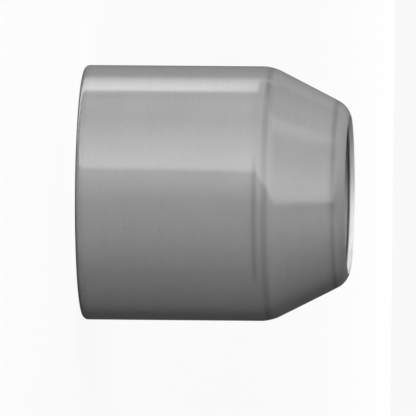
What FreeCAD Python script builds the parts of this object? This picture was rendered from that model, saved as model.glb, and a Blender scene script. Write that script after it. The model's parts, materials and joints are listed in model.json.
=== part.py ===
import FreeCAD, Part
import math
import os

# Plasma torch shield cup, one solid of revolution. Lengths in millimetres, angles in degrees.
# The cup stands on its rear rim: the rim lies at z = 0 and the nose points along +Z.

# Threaded socket at the rear
THREAD_MAJOR_DIAMETER = 25.40  # outer diameter of the torch head's thread
THREAD_PITCH = 1.27
THREAD_DEPTH_PER_PITCH = 0.5413
MOUTH_CLEARANCE = 0.25         # mouth bevel past the thread's outer radius
SOCKET_DEPTH = 11.20           # rear rim to the end of the run-out groove
GROOVE_WIDTH = 1.60
GROOVE_CLEARANCE = 0.20        # run-out groove past the thread's outer radius

# Outside of the cup
CUP_LENGTH = 31.05
SOCKET_WALL = 2.15             # barrel wall outside the thread's outer radius
TAPER_ANGLE = 27.0             # between the taper and the axis
TAPER_FALL = 4.435             # radius lost from the barrel to the corner of the nose
BARREL_BLEND_RADIUS = 5.00     # soft turn from the barrel into the taper
NOSE_ROUND_RADIUS = 2.80
FACE_SLOPE = 19.0              # between the nose's domed face and a flat one
REAR_EDGE_RADIUS = 0.60

# Front lip round the gas opening
LIP_RIM_WIDTH = 0.15           # ring left between the nose rounding and the opening
LIP_EDGE_BEVEL = 0.10          # broken edge of the opening
LIP_THICKNESS = 0.80
LIP_LEDGE_WIDTH = 0.30         # ledge behind the lip that stops the tip's collar

# Nose cavity and plain bore
SEAT_DEPTH = 7.65              # front face to the flat seat
SEAT_WIDTH = 0.60              # flat ring between the plain bore and the nose cavity
BORE_STEP = 1.20               # plain bore inside the thread's outer radius
BORE_LEAD = 0.35               # bevel at the entry of the plain bore


class Sizes:
    """Holds the radii and heights that follow from the sizes above."""

    def __init__(self):
        slope = math.tan(math.radians(TAPER_ANGLE))
        face_rise = math.tan(math.radians(FACE_SLOPE))
        nose_turn = math.radians(90.0 - TAPER_ANGLE - FACE_SLOPE)
        nose_reach = NOSE_ROUND_RADIUS * math.tan(nose_turn / 2.0)
        self.thread_radius = THREAD_MAJOR_DIAMETER / 2.0
        self.socket_radius = self.thread_radius - THREAD_DEPTH_PER_PITCH * THREAD_PITCH
        self.groove_radius = self.thread_radius + GROOVE_CLEARANCE
        self.mouth_radius = self.thread_radius + MOUTH_CLEARANCE
        self.bore_radius = self.thread_radius - BORE_STEP
        self.seat_radius = self.bore_radius - SEAT_WIDTH
        self.seat_height = CUP_LENGTH - SEAT_DEPTH
        self.barrel_radius = self.thread_radius + SOCKET_WALL
        self.nose_radius = self.barrel_radius - TAPER_FALL
        self.face_radius = self.nose_radius - nose_reach * math.cos(math.radians(FACE_SLOPE))
        self.opening_radius = self.face_radius - LIP_RIM_WIDTH
        self.rim_radius = self.opening_radius + LIP_EDGE_BEVEL
        self.nose_height = CUP_LENGTH - (self.nose_radius - self.rim_radius) * face_rise
        self.barrel_end = self.nose_height - TAPER_FALL / slope
        self.ledge_radius = self.opening_radius + LIP_LEDGE_WIDTH
        self.ledge_height = CUP_LENGTH - LIP_THICKNESS


def outer_corners(sizes):
    """Corners of the outside from the rear rim to the nose, as (radius, height, rounding)."""
    return [
        (sizes.mouth_radius, 0.0, 0.0),
        (sizes.barrel_radius, 0.0, REAR_EDGE_RADIUS),
        (sizes.barrel_radius, sizes.barrel_end, BARREL_BLEND_RADIUS),
        (sizes.nose_radius, sizes.nose_height, NOSE_ROUND_RADIUS),
    ]


def nose_corners(sizes):
    """Corners of the front lip, the ledge behind it, the nose cavity and the flat seat."""
    return [
        (sizes.rim_radius, CUP_LENGTH, 0.0),
        (sizes.opening_radius, CUP_LENGTH - LIP_EDGE_BEVEL, 0.0),
        (sizes.opening_radius, sizes.ledge_height, 0.0),
        (sizes.ledge_radius, sizes.ledge_height, 0.0),
        (sizes.seat_radius, sizes.seat_height, 0.0),
        (sizes.bore_radius, sizes.seat_height, 0.0),
    ]


def socket_corners(sizes):
    """Corners of the plain bore's entry, the run-out groove, the socket and its mouth.

    The socket has its bore at the thread's inner radius.
    """
    groove_start = SOCKET_DEPTH - GROOVE_WIDTH
    groove_step = sizes.groove_radius - sizes.socket_radius
    mouth_depth = sizes.mouth_radius - sizes.socket_radius
    return [
        (sizes.bore_radius, SOCKET_DEPTH + BORE_LEAD, 0.0),
        (sizes.bore_radius + BORE_LEAD, SOCKET_DEPTH, 0.0),
        (sizes.groove_radius, SOCKET_DEPTH, 0.0),
        (sizes.groove_radius, groove_start, 0.0),
        (sizes.socket_radius, groove_start - groove_step, 0.0),
        (sizes.socket_radius, mouth_depth, 0.0),
    ]


def corner_arc(before, corner, after, rounding):
    """Start, middle and end of the arc that touches both lines at a corner."""
    if rounding == 0.0:
        return corner, None, corner
    to_before = (before - corner).normalize()
    to_after = (after - corner).normalize()
    half_angle = to_before.getAngle(to_after) / 2.0
    reach = rounding / math.tan(half_angle)
    inwards = (to_before + to_after).normalize()
    middle = corner + inwards * (rounding / math.sin(half_angle) - rounding)
    return corner + to_before * reach, middle, corner + to_after * reach


def section_wire(corners):
    """Closed outline in the XZ plane through the corners, with a true arc at each rounded one."""
    points = [FreeCAD.Vector(radius, 0.0, height) for radius, height, rounding in corners]
    arcs = []
    for index, (radius, height, rounding) in enumerate(corners):
        after = points[(index + 1) % len(points)]
        arcs.append(corner_arc(points[index - 1], points[index], after, rounding))
    edges = []
    for index, (start, middle, end) in enumerate(arcs):
        if middle is not None:
            edges.append(Part.Arc(start, middle, end).toShape())
        next_start = arcs[(index + 1) % len(arcs)][0]
        edges.append(Part.makeLine(end, next_start))
    return Part.Wire(edges)


def make_shield_cup():
    """Turns the cup's half section once round its axis."""
    sizes = Sizes()
    corners = outer_corners(sizes) + nose_corners(sizes) + socket_corners(sizes)
    section = Part.Face(section_wire(corners))
    axis_point = FreeCAD.Vector(0.0, 0.0, 0.0)
    axis = FreeCAD.Vector(0.0, 0.0, 1.0)
    return section.revolve(axis_point, axis, 360.0)


os.makedirs("parts", exist_ok=True)
shield_cup = make_shield_cup()
shield_cup.exportStep("parts/shield_cup.step")
print("shield_cup", shield_cup.ShapeType, round(shield_cup.Volume, 1), shield_cup.isValid())
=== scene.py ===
"""Looks of a plasma torch shield cup: its turned shell with the thread, its finishes, studio and view."""

from __future__ import annotations

import json
import logging
import math
from dataclasses import dataclass
from enum import Enum

import bpy
from mathutils import Matrix, Vector

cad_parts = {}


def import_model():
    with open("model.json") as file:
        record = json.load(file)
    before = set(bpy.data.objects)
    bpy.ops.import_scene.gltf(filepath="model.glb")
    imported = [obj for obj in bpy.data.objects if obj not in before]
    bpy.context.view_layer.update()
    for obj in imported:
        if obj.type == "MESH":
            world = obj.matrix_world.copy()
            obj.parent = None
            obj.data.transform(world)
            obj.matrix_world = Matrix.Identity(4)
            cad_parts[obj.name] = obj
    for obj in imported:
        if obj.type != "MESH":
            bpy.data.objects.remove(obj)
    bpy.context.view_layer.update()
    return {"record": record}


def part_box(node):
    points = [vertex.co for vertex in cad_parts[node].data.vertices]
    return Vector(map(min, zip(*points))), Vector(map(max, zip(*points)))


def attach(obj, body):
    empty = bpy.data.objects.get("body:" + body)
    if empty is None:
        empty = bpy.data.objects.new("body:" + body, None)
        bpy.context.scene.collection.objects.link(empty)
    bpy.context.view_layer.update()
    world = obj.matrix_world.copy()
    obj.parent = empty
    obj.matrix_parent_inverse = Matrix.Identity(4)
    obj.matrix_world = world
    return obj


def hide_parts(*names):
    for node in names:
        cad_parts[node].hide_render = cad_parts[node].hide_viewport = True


LOG = logging.getLogger("shield_cup")
NODE = "shield_cup"
MM = 0.001
FULL_TURN = 2.0 * math.pi
UNIT_RANGE = (0.0, 1.0)
NOISE_RANGE = (0.3, 0.7)  # between which most values of a noise texture lie


class Surface(Enum):
    """Finish of a stretch of the cup's section. The value names its mark on the mesh."""

    SKIN = "skin"
    SOCKET = "socket"
    LIP = "lip"


@dataclass(frozen=True)
class Corner:
    """One corner of the cup's half section.

    Args:
        radius: Distance from the axis in metres.
        height: Distance from the rear rim in metres.
        rounding: Radius of the arc at the corner in metres.
        wear: How strongly the edge is rubbed, from 0 to 1.
        surface: Finish of the stretch that starts here.
        threaded: Whether the thread is cut into that stretch.
    """

    radius: float
    height: float
    rounding: float
    wear: float = 0.0
    surface: Surface = Surface.SKIN
    threaded: bool = False


@dataclass(frozen=True)
class SectionPoint:
    """One point of the sampled section, with what the finish and the thread need there.

    Args:
        radius: Distance from the axis in metres.
        height: Distance from the rear rim in metres.
        wear: How strongly the point is rubbed, from 0 to 1.
        surface: Finish of the face that starts here.
        threaded: Whether the thread is cut here.
    """

    radius: float
    height: float
    wear: float
    surface: Surface
    threaded: bool

    def on_skin(self) -> float:
        """One for a point of the outside, else zero."""
        return float(self.surface is Surface.SKIN)


@dataclass(frozen=True)
class GrooveWithPaintedShade:
    """A fine groove round the outside where the turned shape changes, with painted shade that darkens the
    colour along it.

    Args:
        height: Height of the line above the rear rim in metres.
        strength: How dark the painted shade along the line is, from 0 to 1.
        half_width: Distance in metres over which it fades.
        depth: Depth in metres.
        patches: Number of patches that it shows in, or 0 where it goes all round.
        patch_turn: Turn of the first patch in radians.
        patch_start: Height of the patches' cosine wave at which a patch starts to show.
        patch_rise: Rise of that wave over which the patch comes in fully.
    """

    height: float
    strength: float
    half_width: float = 0.30 * MM
    depth: float = 0.012 * MM
    patches: int = 0
    patch_turn: float = 0.0
    patch_start: float = 0.35
    patch_rise: float = 0.45

    def amount(self, height: float) -> float:
        """How much of the line there is at a height, from 0 to 1."""
        return math.exp(-(((height - self.height) / self.half_width) ** 2))

    def share(self, turn: float) -> float:
        """How strongly the line shows at a turn.

        Args:
            turn: Turn round the axis in radians.

        Returns:
            The line's strength, faded smoothly between its patches.
        """
        swing = math.cos(self.patches * (turn - self.patch_turn))
        part = min(1.0, max(0.0, (swing - self.patch_start) / self.patch_rise))
        return self.strength * part * part * (3.0 - 2.0 * part)


@dataclass(frozen=True)
class CupSection:
    """Half section of the cup. Radii that mate with the torch come from the record's mounts.

    Args:
        length: Rear rim to front face.
        barrel_radius: Outer radius of the barrel.
        socket_radius: Inner radius of the thread.
        bore_radius: Radius of the plain bore.
        opening_radius: Radius of the front opening.
        thread_radius: Outer radius of the thread.
        thread_pitch: Distance from one turn of the thread to the next.
        mouth_clearance: Mouth bevel past the thread's outer radius.
        socket_depth: Rear rim to the end of the run-out groove.
        groove_width: Width of the run-out groove.
        groove_clearance: Run-out groove past the thread's outer radius.
        taper_angle: Angle between the taper and the axis.
        taper_fall: Radius lost from the barrel to the corner of the nose.
        blend_radius: Arc from the barrel into the taper.
        nose_round: Arc from the taper into the domed face.
        face_slope: Angle between the domed face and a flat one.
        rear_edge: Arc at the barrel's rear edge.
        lip_thickness: Front face to the ledge behind the lip.
        lip_edge: Bevel at the edge of the opening.
        painted_light_depth: Front face to the end of the lip's pale ring, whose colour is painted light.
        ledge_width: Width of the ledge behind the lip.
        seat_depth: Front face to the flat seat.
        seat_width: Width of the flat seat.
        bore_lead: Bevel at the entry of the plain bore.
        edge_break: Arc that breaks the other edges.
        arc_step: Largest turn between two points of an arc.
        fine_step: Largest distance between two points of an arc.
        plain_step: Largest distance between two points of a plain stretch.
        thread_step: Largest distance between two points where the thread is cut.
        wear_reach: Distance over which the wear of an edge fades.
        wear_samples: Distances from an edge at which its wear is sampled, in reaches.
        wear_limit: Largest share of a stretch that such a distance may take.
    """

    length: float
    barrel_radius: float
    socket_radius: float
    bore_radius: float
    opening_radius: float
    thread_radius: float = 12.70 * MM
    thread_pitch: float = 1.27 * MM
    mouth_clearance: float = 0.25 * MM
    socket_depth: float = 11.20 * MM
    groove_width: float = 1.60 * MM
    groove_clearance: float = 0.20 * MM
    taper_angle: float = math.radians(27.0)
    taper_fall: float = 4.435 * MM
    blend_radius: float = 5.00 * MM
    nose_round: float = 2.80 * MM
    face_slope: float = math.radians(19.0)
    rear_edge: float = 0.60 * MM
    lip_thickness: float = 0.80 * MM
    lip_edge: float = 0.10 * MM
    painted_light_depth: float = 0.50 * MM
    ledge_width: float = 0.30 * MM
    seat_depth: float = 7.65 * MM
    seat_width: float = 0.60 * MM
    bore_lead: float = 0.35 * MM
    edge_break: float = 0.06 * MM
    arc_step: float = math.radians(9.0)
    fine_step: float = 0.10 * MM
    plain_step: float = 1.50 * MM
    thread_step: float = 0.075 * MM
    wear_reach: float = 0.22 * MM
    wear_samples: tuple[float, ...] = (0.5, 1.0, 1.5, 2.0, 3.0)
    wear_limit: float = 0.4

    @classmethod
    def from_frame(cls, record: dict) -> CupSection:
        """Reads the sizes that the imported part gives.

        Args:
            record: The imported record.

        Returns:
            The section at the part's own sizes.
        """
        low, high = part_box(NODE)
        mounts = {mount["name"]: mount["dims"] for mount in record["mounts"]}
        return cls(
            length=high[2] - low[2],
            barrel_radius=max(high[0], high[1]),
            socket_radius=mounts["head_thread"]["r_mm"] * MM,
            bore_radius=mounts["head_bore"]["r_mm"] * MM,
            opening_radius=mounts["tip_opening"]["r_mm"] * MM,
        )

    def nose_corner(self) -> tuple[float, float]:
        """Place at which the taper and the domed face would meet without the rounding.

        Returns:
            The corner's radius and height.
        """
        radius = self.barrel_radius - self.taper_fall
        rim_radius = self.opening_radius + self.lip_edge
        return radius, self.length - (radius - rim_radius) * math.tan(self.face_slope)

    def barrel_end(self) -> float:
        """Height at which the barrel and the taper would meet without the blend."""
        return self.nose_corner()[1] - self.taper_fall / math.tan(self.taper_angle)

    def outside(self) -> list[Corner]:
        """Corners from the mouth over the barrel and the taper to the nose.

        Returns:
            The corners from the rear to the front.
        """
        nose_radius, nose_height = self.nose_corner()
        mouth_radius = self.thread_radius + self.mouth_clearance
        return [
            Corner(mouth_radius, 0.0, self.edge_break, wear=0.7),
            Corner(self.barrel_radius, 0.0, self.rear_edge, wear=0.8),
            Corner(self.barrel_radius, self.barrel_end(), self.blend_radius),
            Corner(nose_radius, nose_height, self.nose_round),
        ]

    def nose_inside(self) -> list[Corner]:
        """Corners of the lip, the ledge behind it, the nose cavity and the flat seat.

        Returns:
            The corners from the front to the rear.
        """
        radius = self.opening_radius
        lip_end = self.length - self.lip_edge
        ledge = self.length - self.lip_thickness
        seat = self.length - self.seat_depth
        seat_radius = self.bore_radius - self.seat_width
        rim_break, inner_arc = 0.5 * self.edge_break, 2.0 * self.edge_break
        lip, inner = Surface.LIP, Surface.SOCKET
        return [
            Corner(radius + self.lip_edge, self.length, rim_break, wear=1.0, surface=lip),
            Corner(radius, lip_end, self.edge_break, wear=1.0, surface=lip),
            # The lip's pale finish of painted light ends here; the socket's finish follows.
            Corner(radius, self.length - self.painted_light_depth, 0.0, surface=inner),
            Corner(radius, ledge, self.edge_break, surface=inner),
            Corner(radius + self.ledge_width, ledge, inner_arc, surface=inner),
            Corner(seat_radius, seat, self.edge_break, wear=0.5, surface=inner),
            Corner(self.bore_radius, seat, inner_arc, surface=inner),
        ]

    def socket_inside(self) -> list[Corner]:
        """Corners of the plain bore's entry, the run-out groove and the threaded socket.

        Returns:
            The corners from the front to the rear.
        """
        groove_radius = self.thread_radius + self.groove_clearance
        groove_start = self.socket_depth - self.groove_width
        thread_end = groove_start - (groove_radius - self.socket_radius)
        mouth_depth = self.thread_radius + self.mouth_clearance - self.socket_radius
        entry = self.socket_depth + self.bore_lead
        entry_radius = self.bore_radius + self.bore_lead
        inner_arc = 2.0 * self.edge_break
        inner = Surface.SOCKET
        return [
            Corner(self.bore_radius, entry, self.edge_break, wear=0.5, surface=inner),
            Corner(entry_radius, self.socket_depth, self.edge_break, wear=0.5, surface=inner),
            Corner(groove_radius, self.socket_depth, inner_arc, surface=inner),
            Corner(groove_radius, groove_start, inner_arc, surface=inner, threaded=True),
            Corner(self.socket_radius, thread_end, 0.0, wear=0.5, surface=inner, threaded=True),
            Corner(self.socket_radius, mouth_depth, 0.0, wear=0.5, surface=inner, threaded=True),
        ]

    def grooves_with_painted_shade(self) -> list[GrooveWithPaintedShade]:
        """The grooves with painted shade at the rear edge, at the blend's start and middle, and at the nose
        rounding.

        A wide soft painted shade that has no depth lies over the blend.

        Returns:
            The lines.
        """
        rear_line, shade_after, middle_after = 0.50 * MM, 0.75 * MM, 1.18 * MM
        blend_start = self.barrel_end() - self.blend_radius * math.tan(self.taper_angle / 2.0)
        nose_turn = math.pi / 2.0 - self.taper_angle - self.face_slope
        nose_reach = self.nose_round * math.tan(nose_turn / 2.0)
        nose_start = self.nose_corner()[1] - nose_reach * math.cos(self.taper_angle)
        return [
            # Painted shade: the rear line stands in for the shade on the rounded rear edge, the wide one
            # for shade over the blend, and the others for dark lines where the blend and the nose rounding
            # start and in the blend's middle; the first blend line's patches are turned so that one faces
            # the camera.
            GrooveWithPaintedShade(rear_line, 0.75, half_width=0.34 * MM, depth=0.004 * MM),
            GrooveWithPaintedShade(blend_start + shade_after, 0.25, half_width=1.10 * MM, depth=0.0),
            GrooveWithPaintedShade(blend_start, 1.0, patches=2, patch_turn=math.radians(283.0)),
            GrooveWithPaintedShade(blend_start + middle_after, 1.0, half_width=0.34 * MM),
            GrooveWithPaintedShade(nose_start, 1.0),
        ]

    def points(self) -> list[SectionPoint]:
        """Samples the section: arcs by angle, plain stretches by length, the thread finely.

        Returns:
            The closed section, once round, starting at the mouth.
        """
        corners = self.outside() + self.nose_inside() + self.socket_inside()
        arcs = [self._arc(corners, index) for index in range(len(corners))]
        sampled: list[SectionPoint] = []
        for index, corner in enumerate(corners):
            arc = arcs[index]
            previous, following = corners[index - 1], corners[(index + 1) % len(corners)]
            for place in arc:
                turned = place is not arc[0] or len(arc) == 1
                owner = corner if turned else previous
                threaded = corner.threaded or previous.threaded
                sampled.append(SectionPoint(place.x, place.y, corner.wear, owner.surface, threaded))
            start, end = arc[-1], arcs[(index + 1) % len(corners)][0]
            step = self.thread_step if corner.threaded else self.plain_step
            span = (end - start).length
            for share, wear in self._stretch(span, step, corner.wear, following.wear):
                place = start.lerp(end, share)
                sampled.append(SectionPoint(place.x, place.y, wear, corner.surface, corner.threaded))
        return sampled

    def _arc(self, corners: list[Corner], index: int) -> list[Vector]:
        """Points of the arc at one corner.

        Args:
            corners: All corners of the section, in order.
            index: Number of the corner.

        Returns:
            The arc's points, or the corner itself where it is sharp.
        """
        corner = corners[index]
        here = Vector((corner.radius, corner.height))
        if corner.rounding == 0.0:
            return [here]
        before, after = corners[index - 1], corners[(index + 1) % len(corners)]
        to_before = (Vector((before.radius, before.height)) - here).normalized()
        to_after = (Vector((after.radius, after.height)) - here).normalized()
        half = to_before.angle(to_after) / 2.0
        reach = corner.rounding / math.tan(half)
        centre = here + (to_before + to_after).normalized() * (corner.rounding / math.sin(half))
        start = here + to_before * reach - centre
        turn = math.pi - 2.0 * half
        side = math.copysign(1.0, start.x * to_after.y - start.y * to_after.x)
        count = max(3, math.ceil(turn / min(self.arc_step, self.fine_step / corner.rounding)))
        steps = [side * turn * step / count for step in range(count + 1)]
        return [centre + Matrix.Rotation(angle, 2) @ start for angle in steps]

    def _stretch(
        self,
        span: float,
        step: float,
        wear_start: float,
        wear_end: float,
    ) -> list[tuple[float, float]]:
        """Shares along a straight stretch at which it is sampled, each with its wear.

        Args:
            span: Length of the stretch.
            step: Largest distance between points.
            wear_start: Wear of the edge at its start.
            wear_end: Wear of the edge at its end.

        Returns:
            Pairs of the share of the stretch and the wear there.
        """
        count = max(1, math.ceil(span / step))
        shares = {number / count for number in range(1, count)}
        for sample in self.wear_samples:
            distance = sample * self.wear_reach
            if distance < self.wear_limit * span:
                shares |= {distance / span, 1.0 - distance / span}
        pairs = []
        for share in sorted(shares):
            near_start = wear_start * math.exp(-((share * span / self.wear_reach) ** 2))
            near_end = wear_end * math.exp(-(((1.0 - share) * span / self.wear_reach) ** 2))
            pairs.append((share, max(near_start, near_end)))
        return pairs


class NodeSheet:
    """Small helper that places nodes in a tree and joins them."""

    def __init__(self, tree: bpy.types.NodeTree) -> None:
        """Keeps the tree that the nodes go into."""
        self.tree = tree

    def add(self, kind: str, inputs: dict[str, object] | None = None, **settings: object) -> bpy.types.Node:
        """Adds a node, sets its properties and feeds its inputs.

        Args:
            kind: The node's type name.
            inputs: Values or outputs for its inputs, by name.
            settings: Properties of the node by name.

        Returns:
            The new node.
        """
        node = self.tree.nodes.new(kind)
        for name, value in settings.items():
            setattr(node, name, value)
        for name, value in (inputs or {}).items():
            self.feed(node.inputs[name], value)
        return node

    def feed(self, socket: bpy.types.NodeSocket, value: object) -> None:
        """Gives a socket its value, or joins it to another node's output.

        Args:
            socket: The input to feed.
            value: A plain value, or the output that it is joined to.
        """
        if isinstance(value, bpy.types.NodeSocket):
            self.tree.links.new(value, socket)
        else:
            socket.default_value = value

    def math(self, operation: str, *values: object) -> bpy.types.NodeSocket:
        """Adds a math node.

        Args:
            operation: The node's operation.
            values: Numbers or outputs for its inputs, in order.

        Returns:
            The node's output.
        """
        node = self.add("ShaderNodeMath", operation=operation)
        for socket, value in zip(node.inputs, values):
            self.feed(socket, value)
        return node.outputs[0]

    def remap(
        self,
        value: object,
        source: tuple[float, float],
        target: tuple[float, float],
    ) -> bpy.types.NodeSocket:
        """Maps a value from one range to another and clamps it.

        Args:
            value: The value to map.
            source: Start and end of its range.
            target: Results at the start and at the end.

        Returns:
            The mapped value.
        """
        node = self.add("ShaderNodeMapRange")
        for socket, entry in zip(node.inputs, (value, *source, *target)):
            self.feed(socket, entry)
        return node.outputs["Result"]

    def split(self, place: object) -> list[bpy.types.NodeSocket]:
        """The X, Y and Z of a place."""
        return list(self.add("ShaderNodeSeparateXYZ", {"Vector": place}).outputs)

    def join(self, x: object, y: object, z: object) -> bpy.types.NodeSocket:
        """The place with the given X, Y and Z."""
        return self.add("ShaderNodeCombineXYZ", {"X": x, "Y": y, "Z": z}).outputs[0]

    def group(self, tree: bpy.types.NodeTree, inputs: dict[str, object]) -> bpy.types.NodeOutputs:
        """Places a shader group, feeds its inputs by name and gives its outputs."""
        return self.add("ShaderNodeGroup", inputs, node_tree=tree).outputs


class GroupSheet(NodeSheet):
    """A new shader group that takes a place and some numbers and gives numbers."""

    def __init__(self, name: str, numbers: dict[str, float], results: tuple[str, ...]) -> None:
        """Makes the group and its sockets.

        Args:
            name: The group's name.
            numbers: Default of each number that it takes, by name.
            results: Names of the numbers that it gives.
        """
        super().__init__(bpy.data.node_groups.new(name, "ShaderNodeTree"))
        sockets = self.tree.interface
        sockets.new_socket("Place", in_out="INPUT", socket_type="NodeSocketVector")
        for label, default in numbers.items():
            number = sockets.new_socket(label, in_out="INPUT", socket_type="NodeSocketFloat")
            number.default_value = default
        for label in results:
            sockets.new_socket(label, in_out="OUTPUT", socket_type="NodeSocketFloat")
        self.source = self.add("NodeGroupInput").outputs
        self.sink = self.add("NodeGroupOutput").inputs


def blank_material(name: str) -> bpy.types.Material:
    """Makes a material that has no nodes yet.

    Args:
        name: The material's name.

    Returns:
        The material.
    """
    material = bpy.data.materials.new(name)
    material.use_nodes = True
    material.node_tree.nodes.clear()
    return material


@dataclass(frozen=True)
class Noise:
    """One layer of noise.

    Args:
        size: Size of its patches in the units of the place that it reads.
        detail: Number of finer layers within it.
        roughness: Strength of those layers.
    """

    size: float
    detail: float
    roughness: float

    def value(self, sheet: NodeSheet, place: object) -> bpy.types.NodeSocket:
        """Adds the noise to a sheet.

        Args:
            sheet: The nodes that it joins.
            place: The place that it reads.

        Returns:
            The noise's value.
        """
        inputs = {
            "Vector": place,
            "Scale": 1.0 / self.size,
            "Detail": self.detail,
            "Roughness": self.roughness,
        }
        return sheet.add("ShaderNodeTexNoise", inputs).outputs["Fac"]


@dataclass(frozen=True)
class Grain:
    """Texture of a pressed, turned and fired surface.

    Args:
        cloud: Soft clouds.
        fine: Fine grain.
        coarse: Coarse grain.
        speck: Noise whose peaks are the specks.
        fine_share: Height of the fine grain in shares of the grain's depth.
        coarse_share: Height of the coarse grain in the same shares.
        pit_share: Depth of a speck in the same shares.
        speck_range: Values of the noise between which a speck comes in.
        ring: Noise of the turning lines, in steps of their spacing.
        ring_spacing: Spacing of the turning lines in metres.
        ring_slant: How far the radius moves a line along the axis, so that flat faces have lines.
        patch: Noise that breaks up the edge wear.
        patch_range: Values of that noise between which the wear comes in.
        patch_wear: Shares of the wear at both ends of that range.
    """

    cloud: Noise = Noise(5.0 * MM, 3.0, 0.55)
    fine: Noise = Noise(0.16 * MM, 2.0, 0.6)
    coarse: Noise = Noise(0.64 * MM, 3.0, 0.5)
    speck: Noise = Noise(0.32 * MM, 1.0, 0.4)
    fine_share: float = 0.6
    coarse_share: float = 0.9
    pit_share: float = 0.8
    speck_range: tuple[float, float] = (0.66, 0.78)
    ring: Noise = Noise(1.0, 2.0, 0.5)
    ring_spacing: float = 0.30 * MM
    ring_slant: float = 0.7
    patch: Noise = Noise(0.9 * MM, 4.0, 0.65)
    patch_range: tuple[float, float] = (0.35, 0.62)
    patch_wear: tuple[float, float] = (0.15, 1.0)


class FinishGroups:
    """Shader node groups that all finishes use, each built once."""

    def __init__(self, grain: Grain) -> None:
        """Builds the groups.

        Args:
            grain: The surface's texture.
        """
        self.grain = grain
        self.fired_grain = self._fired_grain()
        self.turning_lines = self._turning_lines()
        self.edge_wear = self._edge_wear()

    def _fired_grain(self) -> bpy.types.NodeTree:
        """Fine grain, sparse specks and soft clouds of the fired body.

        Returns:
            The group.
        """
        grain = self.grain
        sheet = GroupSheet("fired_grain", {"Depth": 1.0}, ("Cloud", "Speck", "Height"))
        place = sheet.source["Place"]
        speck = sheet.remap(grain.speck.value(sheet, place), grain.speck_range, UNIT_RANGE)
        fine = sheet.math("MULTIPLY", grain.fine.value(sheet, place), grain.fine_share)
        coarse = sheet.math("MULTIPLY", grain.coarse.value(sheet, place), grain.coarse_share)
        pit = sheet.math("MULTIPLY", speck, grain.pit_share)
        height = sheet.math("SUBTRACT", sheet.math("ADD", fine, coarse), pit)
        sheet.feed(sheet.sink["Cloud"], grain.cloud.value(sheet, place))
        sheet.feed(sheet.sink["Speck"], speck)
        sheet.feed(sheet.sink["Height"], sheet.math("MULTIPLY", height, sheet.source["Depth"]))
        return sheet.tree

    def _turning_lines(self) -> bpy.types.NodeTree:
        """Faint rings round the axis that the turning of the green body leaves.

        Returns:
            The group.
        """
        sheet = GroupSheet("turning_lines", {"Depth": 1.0}, ("Line", "Height"))
        x, y, z = sheet.split(sheet.source["Place"])
        squares = [sheet.math("POWER", side, 2.0) for side in (x, y)]
        radius = sheet.math("SQRT", sheet.math("ADD", *squares))
        slant = sheet.math("MULTIPLY", radius, self.grain.ring_slant)
        along = sheet.math("DIVIDE", sheet.math("ADD", z, slant), self.grain.ring_spacing)
        turn = sheet.math("ARCTAN2", y, x)
        place = sheet.join(along, sheet.math("SINE", turn), sheet.math("COSINE", turn))
        line = self.grain.ring.value(sheet, place)
        sheet.feed(sheet.sink["Line"], line)
        sheet.feed(sheet.sink["Height"], sheet.math("MULTIPLY", line, sheet.source["Depth"]))
        return sheet.tree

    def _edge_wear(self) -> bpy.types.NodeTree:
        """Rubbed edges: the section's own wear value, broken up by noise.

        Returns:
            The group.
        """
        grain = self.grain
        sheet = GroupSheet("edge_wear", {"Edge": 0.0, "Amount": 1.0}, ("Mask",))
        patches = grain.patch.value(sheet, sheet.source["Place"])
        kept = sheet.remap(patches, grain.patch_range, grain.patch_wear)
        worn = sheet.math("MULTIPLY", sheet.source["Edge"], kept)
        sheet.feed(sheet.sink["Mask"], sheet.math("MULTIPLY", worn, sheet.source["Amount"]))
        return sheet.tree


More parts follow.
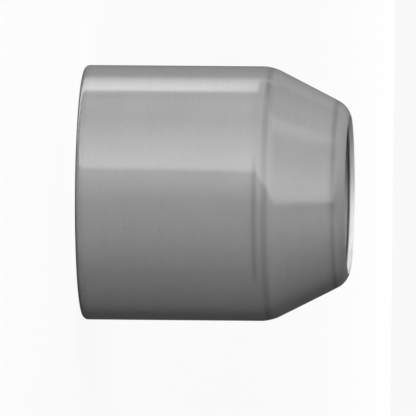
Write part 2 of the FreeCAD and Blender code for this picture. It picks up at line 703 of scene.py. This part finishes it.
@dataclass(frozen=True)
class CeramicFinish:
    """Finish of a grey fired ceramic surface.

    Args:
        name: Name of the material.
        colour: Colour of the body as linear grey.
        cloud_share: How far the soft clouds move the colour.
        ring_share: How far the turning lines move it.
        speck_share: How far the specks darken it.
        painted_shade_share: How far the painted shade along the groove lines darkens it.
        worn_colour: Colour of rubbed edges as linear grey.
        wear: Amount of edge wear.
        roughness: Middle roughness.
        roughness_spread: How far the clouds move the roughness.
        grain_depth: Height of the grain in metres.
        line_depth: Height of the turning lines in metres.
        polish: How much smoother a rubbed edge is, as a share of the roughness.
        gloss_index: Index of refraction of the surface.
    """

    name: str
    colour: float
    cloud_share: float
    ring_share: float
    speck_share: float
    painted_shade_share: float
    worn_colour: float
    wear: float
    roughness: float
    roughness_spread: float
    grain_depth: float
    line_depth: float
    polish: float = 0.25
    gloss_index: float = 1.7

    def material(self, groups: FinishGroups) -> bpy.types.Material:
        """Builds the finish's material.

        Args:
            groups: The shared node groups.

        Returns:
            The material.
        """
        material = blank_material(self.name)
        sheet = NodeSheet(material.node_tree)
        place = sheet.add("ShaderNodeTexCoord").outputs["Object"]
        edge = sheet.add("ShaderNodeAttribute", attribute_name="edge").outputs["Fac"]
        grain = sheet.group(groups.fired_grain, {"Place": place, "Depth": self.grain_depth})
        lines = sheet.group(groups.turning_lines, {"Place": place, "Depth": self.line_depth})
        wear = sheet.group(groups.edge_wear, {"Place": place, "Edge": edge, "Amount": self.wear})
        spread = (self.roughness - self.roughness_spread, self.roughness + self.roughness_spread)
        cloudy = sheet.remap(grain["Cloud"], NOISE_RANGE, spread)
        rubbed = sheet.math("MULTIPLY", wear["Mask"], -self.polish * self.roughness)
        height = sheet.math("ADD", grain["Height"], lines["Height"])
        bump = sheet.add("ShaderNodeBump", {"Height": height, "Distance": 1.0, "Strength": 1.0})
        inputs = {
            "Base Color": self._colour(sheet, grain, lines, wear),
            "Roughness": sheet.math("ADD", cloudy, rubbed),
            "Normal": bump.outputs["Normal"],
            "IOR": self.gloss_index,
            "Metallic": 0.0,
        }
        shader = sheet.add("ShaderNodeBsdfPrincipled", inputs)
        sheet.add("ShaderNodeOutputMaterial", {"Surface": shader.outputs["BSDF"]})
        return material

    def _colour(
        self,
        sheet: NodeSheet,
        grain: bpy.types.NodeOutputs,
        lines: bpy.types.NodeOutputs,
        wear: bpy.types.NodeOutputs,
    ) -> bpy.types.NodeSocket:
        """Grey of the body, moved by clouds, rings and specks, darkened by painted shade along the groove
        lines, and lighter where rubbed.

        Args:
            sheet: The material's nodes.
            grain: What the grain group gives.
            lines: What the turning lines group gives.
            wear: What the edge wear group gives.

        Returns:
            The colour output.
        """
        # Painted shade along the groove lines, as written on the mesh.
        painted_line_shade = sheet.add("ShaderNodeAttribute", attribute_name="line").outputs["Fac"]
        painted_shade_colour = self.colour * (1.0 - self.painted_shade_share)
        factors = (
            sheet.remap(grain["Cloud"], NOISE_RANGE, (1.0 - self.cloud_share, 1.0 + self.cloud_share)),
            sheet.remap(lines["Line"], NOISE_RANGE, (1.0 - self.ring_share, 1.0 + self.ring_share)),
            sheet.remap(grain["Speck"], UNIT_RANGE, (1.0, 1.0 - self.speck_share)),
            sheet.remap(painted_line_shade, UNIT_RANGE, (self.colour, painted_shade_colour)),
        )
        body = factors[0]
        for factor in factors[1:]:
            body = sheet.math("MULTIPLY", body, factor)
        inputs = {"Factor": wear["Mask"], "A": body, "B": self.worn_colour}
        grey = sheet.add("ShaderNodeMix", inputs, data_type="FLOAT").outputs["Result"]
        colour = sheet.add("ShaderNodeCombineColor", {"Red": grey, "Green": grey, "Blue": grey})
        return colour.outputs["Color"]


@dataclass(frozen=True)
class TurnedShell:
    """The whole cup: its section turned round the axis, with the thread cut into the socket.

    Args:
        section: The cup's half section.
        finishes: Material of each finish.
        columns: Number of steps round the axis.
        thread_flat_inner: Share of the pitch that stays flat at the thread's inner radius.
        thread_flat_outer: Share of the pitch that is flat at its outer radius.
        name: Name of the piece.
    """

    section: CupSection
    finishes: dict[Surface, bpy.types.Material]
    columns: int = 240
    thread_flat_inner: float = 0.25
    thread_flat_outer: float = 0.125
    name: str = "cup_shell"

    def build(self) -> bpy.types.Object:
        """Builds the shell as one closed mesh.

        Returns:
            The finished piece at the origin.
        """
        piece = bpy.data.objects.new(self.name, self._unrolled_sheet())
        bpy.context.scene.collection.objects.link(piece)
        turned = self._turned_mesh(piece)
        piece.modifiers.clear()
        piece.data = turned
        turned.name = self.name
        return piece

    def _unrolled_sheet(self) -> bpy.types.Mesh:
        """The section as a sheet over turn, radius and height, before it is rolled up.

        Returns:
            A mesh whose X is the turn in radians, whose Y is the radius and whose Z is the height.
        """
        points = self.section.points()
        places, painted_shade_marks = self._sheet_places(points)
        mesh = bpy.data.meshes.new(self.name + "_sheet")
        mesh.from_pydata(places, [], self._sheet_faces(len(points)))
        self._mark(mesh, "edge", "POINT", [point.wear for point in points] * self.columns)
        # Painted shade of the groove lines, which the skin's colour reads.
        self._mark(mesh, "line", "POINT", painted_shade_marks)
        self._mark(mesh, "threaded", "POINT", [float(point.threaded) for point in points] * self.columns)
        for surface in (Surface.SOCKET, Surface.LIP):
            belongs = [point.surface is surface for point in points]
            self._mark(mesh, surface.value, "FACE", belongs * self.columns)
        return mesh

    def _sheet_places(self, points: list[SectionPoint]) -> tuple[list[tuple[float, ...]], list[float]]:
        """Places of the sheet's points, with the groove lines sunk into them.

        Args:
            points: The sampled section.

        Returns:
            The places, and how dark the painted shade of the lines is at each.
        """
        lines = self.section.grooves_with_painted_shade()
        amounts = [[point.on_skin() * line.amount(point.height) for line in lines] for point in points]
        places, painted_shade_marks = [], []
        for column in range(self.columns):
            turn = FULL_TURN * column / self.columns
            shares = [line.share(turn) for line in lines]
            for point, row_amounts in zip(points, amounts):
                marked = [amount * share for amount, share in zip(row_amounts, shares)]
                sunk = sum(mark * line.depth for mark, line in zip(marked, lines))
                places.append((turn, point.radius - sunk, point.height))
                painted_shade_marks.append(min(1.0, sum(marked)))
        return places, painted_shade_marks

    def _sheet_faces(self, rows: int) -> list[tuple[int, int, int, int]]:
        """Faces of the sheet, which also close it both ways.

        Args:
            rows: Number of points in the section.

        Returns:
            The numbers of each face's points.
        """
        faces = []
        for column in range(self.columns):
            here, beside = column * rows, ((column + 1) % self.columns) * rows
            for row in range(rows):
                above = (row + 1) % rows
                faces.append((here + row, beside + row, beside + above, here + above))
        return faces

    @staticmethod
    def _mark(mesh: bpy.types.Mesh, name: str, domain: str, values: list[float] | list[bool]) -> None:
        """Writes one value for each point, or one yes or no for each face."""
        kind = "FLOAT" if domain == "POINT" else "BOOLEAN"
        mesh.attributes.new(name, kind, domain).data.foreach_set("value", values)

    def _turned_mesh(self, piece: bpy.types.Object) -> bpy.types.Mesh:
        """Runs the turning tree on the sheet.

        Args:
            piece: The object that holds the sheet.

        Returns:
            The turned shell as a plain mesh.
        """
        tree = self._turning_tree()
        modifier = piece.modifiers.new("turn_and_thread", "NODES")
        modifier.node_group = tree
        values = {
            "Inner Radius": self.section.socket_radius,
            "Thread Depth": self.section.thread_radius - self.section.socket_radius,
            "Pitch": self.section.thread_pitch,
        }
        values |= {surface.value: material for surface, material in self.finishes.items()}
        for item in tree.interface.items_tree:
            if item.name in values:
                modifier[item.identifier] = values[item.name]
        evaluated = piece.evaluated_get(bpy.context.evaluated_depsgraph_get())
        return bpy.data.meshes.new_from_object(evaluated)

    def _turning_tree(self) -> bpy.types.NodeTree:
        """Tree that cuts the thread into the sheet, rolls it round the axis and sets its finishes.

        Returns:
            The geometry tree.
        """
        tree = bpy.data.node_groups.new("turn_and_thread", "GeometryNodeTree")
        tree.interface.new_socket("Sheet", in_out="INPUT", socket_type="NodeSocketGeometry")
        for label in ("Inner Radius", "Thread Depth", "Pitch"):
            tree.interface.new_socket(label, in_out="INPUT", socket_type="NodeSocketFloat")
        for surface in Surface:
            tree.interface.new_socket(surface.value, in_out="INPUT", socket_type="NodeSocketMaterial")
        tree.interface.new_socket("Shell", in_out="OUTPUT", socket_type="NodeSocketGeometry")
        sheet = NodeSheet(tree)
        source = sheet.add("NodeGroupInput").outputs
        rolled = {"Geometry": source["Sheet"], "Position": self._rolled_place(sheet, source)}
        shell = sheet.add("GeometryNodeSetPosition", rolled).outputs["Geometry"]
        for kind in ("GeometryNodeSetShadeSmooth", "GeometryNodeRealizeInstances"):
            shell = sheet.add(kind, {"Geometry": shell}).outputs["Geometry"]
        for surface in Surface:
            inputs = {"Geometry": shell, "Material": source[surface.value]}
            if surface is not Surface.SKIN:
                inputs["Selection"] = self._read_mark(sheet, surface.value, "BOOLEAN")
            shell = sheet.add("GeometryNodeSetMaterial", inputs).outputs["Geometry"]
        sheet.add("NodeGroupOutput", {"Shell": shell})
        return tree

    @staticmethod
    def _read_mark(sheet: NodeSheet, name: str, kind: str) -> bpy.types.NodeSocket:
        """Reads what was written on the sheet under a name."""
        mark = sheet.add("GeometryNodeInputNamedAttribute", {"Name": name}, data_type=kind)
        return mark.outputs["Attribute"]

    def _rolled_place(self, sheet: NodeSheet, source: bpy.types.NodeOutputs) -> bpy.types.NodeSocket:
        """Place of each point once the thread is cut and the sheet is rolled round the axis.

        Args:
            sheet: The tree's nodes.
            source: The tree's inputs.

        Returns:
            The place.
        """
        turn, radius, height = sheet.split(sheet.add("GeometryNodeInputPosition").outputs[0])
        cut_radius = self._thread_radius(sheet, source, turn, height)
        gain = sheet.math("MAXIMUM", sheet.math("SUBTRACT", cut_radius, radius), 0.0)
        cut = sheet.math("MULTIPLY", gain, self._read_mark(sheet, "threaded", "FLOAT"))
        wall = sheet.math("ADD", radius, cut)
        x = sheet.math("MULTIPLY", wall, sheet.math("COSINE", turn))
        y = sheet.math("MULTIPLY", wall, sheet.math("SINE", turn))
        return sheet.join(x, y, height)

    def _thread_radius(
        self,
        sheet: NodeSheet,
        source: bpy.types.NodeOutputs,
        turn: bpy.types.NodeSocket,
        height: bpy.types.NodeSocket,
    ) -> bpy.types.NodeSocket:
        """Radius of the right-hand thread's wall at a turn and height.

        Args:
            sheet: The tree's nodes.
            source: The tree's inputs.
            turn: Angle round the axis.
            height: Height above the rear rim.

        Returns:
            The wall's radius.
        """
        risen = sheet.math("DIVIDE", height, source["Pitch"])
        phase = sheet.math("FRACT", sheet.math("SUBTRACT", risen, sheet.math("DIVIDE", turn, FULL_TURN)))
        swing = sheet.math("SUBTRACT", sheet.math("MULTIPLY", phase, 2.0), 1.0)
        ridge = sheet.math("SUBTRACT", 1.0, sheet.math("ABSOLUTE", swing))
        flats = (self.thread_flat_inner, 1.0 - self.thread_flat_outer)
        flank = sheet.math("MULTIPLY", sheet.remap(ridge, flats, UNIT_RANGE), source["Thread Depth"])
        return sheet.math("ADD", source["Inner Radius"], flank)


class Reach(Enum):
    """What a lamp or card acts on."""

    SHEEN = "sheen"
    BODY = "body"


def hide_for_reach(item: bpy.types.Object, reach: Reach) -> None:
    """Hides a lamp or card from the camera and from what it doesn't act on.

    Args:
        item: The lamp or card.
        reach: What it acts on.
    """
    item.visible_camera = False
    item.visible_diffuse = reach is not Reach.SHEEN
    item.visible_glossy = reach is not Reach.BODY


def flat_mesh(name: str, length: float, height: float) -> bpy.types.Mesh:
    """Makes a rectangle that faces +Z, with its middle at the origin.

    Args:
        name: The mesh's name.
        length: Its size along X.
        height: Its size along Y.

    Returns:
        The mesh.
    """
    side, rise = length / 2.0, height / 2.0
    corners = [(-side, -rise, 0.0), (side, -rise, 0.0), (side, rise, 0.0), (-side, rise, 0.0)]
    mesh = bpy.data.meshes.new(name)
    mesh.from_pydata(corners, [], [(0, 1, 2, 3)])
    return mesh


@dataclass(frozen=True)
class Bearing:
    """A direction from the cup, in degrees from the camera's own direction.

    Args:
        towards_nose: Degrees towards the picture's right.
        upwards: Degrees round the cup, from the camera over the picture's top.
    """

    towards_nose: float
    upwards: float


@dataclass(frozen=True)
class PhotoView:
    """The photograph's view: nearly parallel, turned a little towards the nose.

    Args:
        turn: How far the camera is turned from square-on towards the nose.
        tilt: How far the nose hangs down in the picture.
        metres_wide: Width of the view at the cup.
        along: Place of the picture's middle along the cup's axis.
        below: Place of the picture's middle below the axis.
        lens: Focal length in millimetres.
        sensor: Width of the sensor in millimetres.
        clip_near: Nearest distance that is seen, as a share of the cup's.
        clip_far: Farthest distance that is seen, as a share of the cup's.
    """

    turn: float = math.radians(4.0)
    tilt: float = math.radians(0.48)
    metres_wide: float = 48.52 * MM
    along: float = 14.49 * MM
    below: float = 1.73 * MM
    lens: float = 1600.0
    sensor: float = 36.0
    clip_near: float = 0.1
    clip_far: float = 10.0

    def axes(self) -> tuple[Vector, Vector, Vector]:
        """Directions of the level picture in the frame, in which the nose points right.

        Returns:
            Right, up and back.
        """
        back = Vector((0.0, -math.cos(self.turn), math.sin(self.turn)))
        right = Vector((0.0, math.sin(self.turn), math.cos(self.turn)))
        return right, back.cross(right), back

    def aim(self) -> Vector:
        """Point of the frame at the picture's middle."""
        return Vector((self.below, 0.0, self.along))

    def direction(self, bearing: Bearing) -> Vector:
        """Direction in the frame of a bearing from the cup.

        Args:
            bearing: The direction as the camera has it.

        Returns:
            A unit vector away from the cup.
        """
        right, up, back = self.axes()
        side, rise = math.radians(bearing.towards_nose), math.radians(bearing.upwards)
        around = back * math.cos(rise) + up * math.sin(rise)
        return around * math.cos(side) + right * math.sin(side)

    def make_camera(self) -> bpy.types.Object:
        """Creates the scene's camera.

        Returns:
            The camera object.
        """
        right, up, back = self.axes()
        right_tilted = right * math.cos(self.tilt) + up * math.sin(self.tilt)
        up_tilted = up * math.cos(self.tilt) - right * math.sin(self.tilt)
        distance = self.metres_wide / self.sensor * self.lens
        data = bpy.data.cameras.new("photo_view")
        data.lens = self.lens
        data.sensor_width = self.sensor
        data.clip_start = self.clip_near * distance
        data.clip_end = self.clip_far * distance
        camera = bpy.data.objects.new("photo_view", data)
        turned = Matrix((right_tilted, up_tilted, back)).transposed().to_4x4()
        camera.matrix_world = Matrix.Translation(self.aim() + back * distance) @ turned
        bpy.context.scene.collection.objects.link(camera)
        bpy.context.scene.camera = camera
        return camera


@dataclass(frozen=True)
class Panel:
    """A flat panel that faces the cup, given by its lower edge and its height.

    Args:
        edge_start: Where the lower edge starts.
        edge_end: Where it ends.
        rise: Height of the panel in degrees as the cup sees it.
        distance: Distance from the cup in metres.
    """

    edge_start: Bearing
    edge_end: Bearing
    rise: float
    distance: float = 0.30

    def placement(self, view: PhotoView) -> tuple[Matrix, float, float]:
        """Works out where the panel stands and how large it is.

        Args:
            view: The view that the directions refer to.

        Returns:
            The placement, the length and the height.
        """
        start = view.direction(self.edge_start)
        end = view.direction(self.edge_end)
        along = (end - start).normalized()
        middle = (start + end).normalized()
        half_rise = math.radians(self.rise) / 2.0
        away = (middle * math.cos(half_rise) + middle.cross(along) * math.sin(half_rise)).normalized()
        facing = Matrix((along, away.cross(along), away)).transposed().to_4x4()
        length = 2.0 * self.distance / math.cos(half_rise) * math.tan(start.angle(end) / 2.0)
        height = 2.0 * self.distance * math.tan(half_rise)
        return Matrix.Translation(view.aim() + away * self.distance) @ facing, length, height


@dataclass(frozen=True)
class SoftBox:
    """One flat studio lamp.

    Args:
        name: Name of the lamp.
        panel: Its face.
        radiance: Brightness of its face at the lower edge.
        reach: Whether it gives shine or plain light.
        upper_share: Brightness at the upper edge as a share of that.
        fade_to: Share of the height from which that upper brightness stays.
        end_share: Brightness where the lower edge ends as a share of that where it starts.
    """

    name: str
    panel: Panel
    radiance: float
    reach: Reach
    upper_share: float = 1.0
    fade_to: float = 1.0
    end_share: float = 1.0

    def light(self, view: PhotoView) -> bpy.types.Object:
        """Places the lamp.

        Args:
            view: The view that its directions refer to.

        Returns:
            The lamp object.
        """
        place, length, height = self.panel.placement(view)
        data = bpy.data.lights.new(self.name, "AREA")
        data.shape = "RECTANGLE"
        data.size = length
        data.size_y = height
        data.energy = self.radiance * math.pi * length * height
        if self.upper_share != 1.0 or self.end_share != 1.0:
            self._fade(data)
        lamp = bpy.data.objects.new(self.name, data)
        lamp.matrix_world = place
        hide_for_reach(lamp, self.reach)
        bpy.context.scene.collection.objects.link(lamp)
        return lamp

    def _fade(self, data: bpy.types.Light) -> None:
        """Makes the lamp's face dimmer towards its upper edge and towards its end.

        Args:
            data: The lamp's light.
        """
        data.use_nodes = True
        data.node_tree.nodes.clear()
        sheet = NodeSheet(data.node_tree)
        across, upwards, _ = sheet.split(sheet.add("ShaderNodeNewGeometry").outputs["Parametric"])
        fades = (
            sheet.remap(upwards, (0.0, self.fade_to), (1.0, self.upper_share)),
            sheet.remap(across, UNIT_RANGE, (1.0, self.end_share)),
        )
        face = sheet.add("ShaderNodeEmission", {"Strength": sheet.math("MULTIPLY", *fades)})
        sheet.add("ShaderNodeOutputLight", {"Surface": face.outputs[0]})


@dataclass(frozen=True)
class NarrowLamp:
    """A round lamp with a narrow beam that shines into the cup's opening from above.

    Args:
        name: Name of the lamp.
        bearing: Where it stands as the opening sees it.
        opening_height: Height of the opening above the rear rim in metres.
        beam_width: Width of the beam across the opening in metres.
        brightness: Brightness that it gives to a white face square to the beam.
        spread: Angle over which the beam widens.
        distance: Distance from the opening in metres.
    """

    name: str
    bearing: Bearing
    opening_height: float
    beam_width: float
    brightness: float
    spread: float = math.radians(3.0)
    distance: float = 0.08

    def light(self, view: PhotoView) -> bpy.types.Object:
        """Places the lamp so that its beam fills the opening and misses the outside.

        Args:
            view: The view that its direction refers to.

        Returns:
            The lamp object.
        """
        away = view.direction(self.bearing)
        axis = Vector((0.0, 0.0, 1.0))
        along = axis.cross(away).normalized()
        data = bpy.data.lights.new(self.name, "AREA")
        data.shape = "ELLIPSE"
        data.size = self.beam_width
        data.size_y = self.beam_width * axis.dot(away)
        data.spread = self.spread
        face_area = math.pi * data.size * data.size_y / 4.0
        data.energy = self.brightness * math.pi * face_area
        lamp = bpy.data.objects.new(self.name, data)
        facing = Matrix((along, away.cross(along), away)).transposed().to_4x4()
        lamp.matrix_world = Matrix.Translation(axis * self.opening_height + away * self.distance) @ facing
        hide_for_reach(lamp, Reach.BODY)
        bpy.context.scene.collection.objects.link(lamp)
        return lamp


@dataclass(frozen=True)
class GreyCard:
    """A board beside the cup that keeps the white surroundings out of its shine.

    Args:
        name: Name of the card.
        panel: Its face.
        lower_shade: Grey at the lower edge.
        upper_shade: Grey at the upper edge.
        reach: Whether it shows in the shine or in the plain light.
        fade_from: Share of the height up to which the lower shade stays.
        fade_to: Share of the height from which the upper shade stays.
    """

    name: str
    panel: Panel
    lower_shade: float
    upper_shade: float
    reach: Reach
    fade_from: float = 0.0
    fade_to: float = 1.0

    def build(self, view: PhotoView) -> bpy.types.Object:
        """Places the card.

        Args:
            view: The view that its directions refer to.

        Returns:
            The card object.
        """
        place, length, height = self.panel.placement(view)
        mesh = flat_mesh(self.name, length, height)
        mesh.materials.append(self._material(height))
        card = bpy.data.objects.new(self.name, mesh)
        card.matrix_world = place
        card.visible_shadow = False
        hide_for_reach(card, self.reach)
        bpy.context.scene.collection.objects.link(card)
        return card

    def _material(self, height: float) -> bpy.types.Material:
        """Plain grey that fades up the card and takes no light.

        Args:
            height: Height of the card.

        Returns:
            The material.
        """
        material = blank_material(self.name)
        sheet = NodeSheet(material.node_tree)
        upwards = sheet.split(sheet.add("ShaderNodeTexCoord").outputs["Object"])[1]
        fade = (height * (self.fade_from - 0.5), height * (self.fade_to - 0.5))
        shade = sheet.remap(upwards, fade, (self.lower_shade, self.upper_shade))
        face = sheet.add("ShaderNodeEmission", {"Strength": shade})
        sheet.add("ShaderNodeOutputMaterial", {"Surface": face.outputs[0]})
        return material


@dataclass(frozen=True)
class Studio:
    """Pale floor, white surroundings, soft lamps and dark cards.

    Args:
        view: The photograph's view.
        opening_height: Height of the cup's opening above the rear rim in metres.
        floor_side: Side of the square floor in metres.
        floor_grey: Colour of the floor.
        floor_white: White that the camera sees the floor give.
        shade_share: How much of the floor's own shading the camera sees as well.
        fill: Brightness of the surroundings for everything but the camera and the shine.
    """

    view: PhotoView
    opening_height: float
    floor_side: float = 4.0
    floor_grey: float = 0.35
    floor_white: float = 0.905
    shade_share: float = 0.35
    fill: float = 0.30

    def shine_lamps(self) -> list[SoftBox]:
        """The lamps seen in the shine: a band, a glow below its edge and a strip behind the top.

        Returns:
            The lamps.
        """
        band = Panel(Bearing(-36.5, 35.8), Bearing(57.5, -26.5), rise=82.0)
        glow = Panel(Bearing(-50.0, 18.0), Bearing(14.0, -14.0), rise=21.0)
        strip = Panel(Bearing(-66.0, 104.3), Bearing(-1.5, 104.3), rise=25.0)
        reach = Reach.SHEEN
        return [
            SoftBox("band", band, 4.4, upper_share=0.108, fade_to=0.62, end_share=0.3, reach=reach),
            SoftBox("band_glow", glow, 0.1, upper_share=11.0, reach=reach),
            SoftBox("top_strip", strip, 3.9, upper_share=0.05, reach=reach),
        ]

    def plain_lamps(self) -> list[SoftBox]:
        """The lamps that light the cup's body: a key from above and fills in front and behind.

        Returns:
            The lamps.
        """
        key = Panel(Bearing(-30.0, 35.0), Bearing(40.0, 35.0), rise=60.0)
        front = Panel(Bearing(-40.0, -30.0), Bearing(40.0, -30.0), rise=64.0, distance=0.6)
        back = Panel(Bearing(-40.0, 160.0), Bearing(40.0, 160.0), rise=50.0, distance=0.6)
        return [
            SoftBox("key", key, 1.65, reach=Reach.BODY),
            SoftBox("front_fill", front, 1.5, reach=Reach.BODY),
            SoftBox("back_fill", back, 1.0, reach=Reach.BODY),
        ]

    def nose_lamp(self) -> NarrowLamp:
        """The narrow lamp that lights the lower half of the opening's inside."""
        return NarrowLamp("nose_lamp", Bearing(10.0, 50.0), self.opening_height, 18.0 * MM, 0.50)

    def cards(self) -> list[GreyCard]:
        """The cards: two below the cup in the picture, one behind it, and two near its nose.

        Returns:
            The cards.
        """
        below = Panel(Bearing(-75.0, -166.0), Bearing(75.0, -166.0), rise=152.0, distance=0.14)
        at_nose = Panel(Bearing(35.0, -130.0), Bearing(35.0, 130.0), rise=85.0, distance=0.40)
        behind = Panel(Bearing(-75.0, 128.0), Bearing(75.0, 128.0), rise=70.0, distance=0.34)
        above_nose = Panel(Bearing(20.0, 82.0), Bearing(78.0, 82.0), rise=42.0, distance=0.25)
        shine = Reach.SHEEN
        return [
            GreyCard("card_below", below, 0.04, 1.0, fade_from=0.375, fade_to=0.65, reach=shine),
            GreyCard("shade_below", below, 0.02, 0.02, reach=Reach.BODY),
            GreyCard("card_behind", behind, 0.35, 0.05, reach=shine),
            GreyCard("card_at_nose", at_nose, 0.25, 0.25, reach=shine),
            GreyCard("card_above_nose", above_nose, 0.45, 0.10, reach=shine),
        ]

    def build(self) -> list[bpy.types.Object]:
        """Makes the floor, the world, the cards and the lamps.

        Returns:
            The objects made.
        """
        self._world()
        lamps = [*self.shine_lamps(), *self.plain_lamps(), self.nose_lamp()]
        lit = [lamp.light(self.view) for lamp in lamps]
        cards = [card.build(self.view) for card in self.cards()]
        return [self._floor(), *cards, *lit]

    @staticmethod
    def _camera_sees(sheet: NodeSheet) -> bpy.types.NodeSocket:
        """One where a ray comes from the camera, a mirror reflection or a view through glass.

        Args:
            sheet: The nodes that it joins.

        Returns:
            One or zero.
        """
        path = sheet.add("ShaderNodeLightPath").outputs
        seen = sheet.math("MAXIMUM", path["Is Camera Ray"], path["Is Glossy Ray"])
        return sheet.math("MAXIMUM", seen, path["Is Transmission Ray"])

    def _floor(self) -> bpy.types.Object:
        """Makes the flat pale floor under the rear rim.

        Returns:
            The floor object.
        """
        mesh = flat_mesh("pale_floor", self.floor_side, self.floor_side)
        floor = bpy.data.objects.new("pale_floor", mesh)
        bpy.context.scene.collection.objects.link(floor)
        material = blank_material("pale_floor")
        sheet = NodeSheet(material.node_tree)
        grey = (self.floor_grey, self.floor_grey, self.floor_grey, 1.0)
        shaded = sheet.add("ShaderNodeBsdfDiffuse", {"Color": grey})
        white_share = 1.0 - self.shade_share
        white = sheet.add("ShaderNodeEmission", {"Strength": self.floor_white / white_share})
        seen = sheet.math("MULTIPLY", self._camera_sees(sheet), white_share)
        mix = sheet.add("ShaderNodeMixShader", {"Fac": seen})
        sheet.feed(mix.inputs[1], shaded.outputs[0])
        sheet.feed(mix.inputs[2], white.outputs[0])
        sheet.add("ShaderNodeOutputMaterial", {"Surface": mix.outputs[0]})
        mesh.materials.append(material)
        floor.visible_glossy = False
        return floor

    def _world(self) -> None:
        """Makes surroundings that are white to the camera and a soft grey to the rest."""
        world = bpy.data.worlds.new("studio")
        bpy.context.scene.world = world
        world.use_nodes = True
        world.node_tree.nodes.clear()
        sheet = NodeSheet(world.node_tree)
        strength = sheet.remap(self._camera_sees(sheet), UNIT_RANGE, (self.fill, 1.0))
        white = (1.0, 1.0, 1.0, 1.0)
        background = sheet.add("ShaderNodeBackground", {"Color": white, "Strength": strength})
        sheet.add("ShaderNodeOutputWorld", {"Surface": background.outputs[0]})


class Finish(Enum):
    """The cup's three finishes, named like its surfaces."""

    SKIN = CeramicFinish(
        name="satin_skin",
        colour=0.38,
        cloud_share=0.03,
        ring_share=0.015,
        speck_share=0.12,
        # Painted shade: darkening along the groove lines and over the blend.
        painted_shade_share=0.32,
        worn_colour=0.46,
        wear=0.6,
        roughness=0.155,
        roughness_spread=0.015,
        grain_depth=0.0012 * MM,
        line_depth=0.0010 * MM,
    )
    SOCKET = CeramicFinish(
        name="turned_socket",
        colour=0.37,
        cloud_share=0.05,
        ring_share=0.025,
        speck_share=0.15,
        painted_shade_share=0.0,
        worn_colour=0.46,
        wear=0.5,
        roughness=0.42,
        roughness_spread=0.05,
        grain_depth=0.0030 * MM,
        line_depth=0.0030 * MM,
    )
    # Painted light: the lip's inner ring is near-white so that the inside of the opening looks brightly
    # lit; the lighter edge wear on it is wear.
    LIP = CeramicFinish(
        name="painted_light_lip",
        colour=0.80,
        cloud_share=0.05,
        ring_share=0.025,
        speck_share=0.12,
        painted_shade_share=0.0,
        worn_colour=0.84,
        wear=0.5,
        roughness=0.42,
        roughness_spread=0.05,
        grain_depth=0.0020 * MM,
        line_depth=0.0020 * MM,
    )


def main() -> None:
    """Builds the cup's shell, dresses it and sets up the studio and the view."""
    logging.basicConfig(level=logging.INFO, format="%(name)s: %(message)s")
    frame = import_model()
    groups = FinishGroups(Grain())
    finishes = {surface: Finish[surface.name].value.material(groups) for surface in Surface}
    section = CupSection.from_frame(frame["record"])
    shell = TurnedShell(section, finishes).build()
    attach(shell, "root")
    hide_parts(NODE)
    LOG.info("%s: %d faces", shell.name, len(shell.data.polygons))
    view = PhotoView()
    view.make_camera()
    for item in Studio(view, section.length).build():
        LOG.info("studio: %s", item.name)
    bpy.context.scene.view_settings.view_transform = "Standard"


if __name__ == "__main__":
    main()
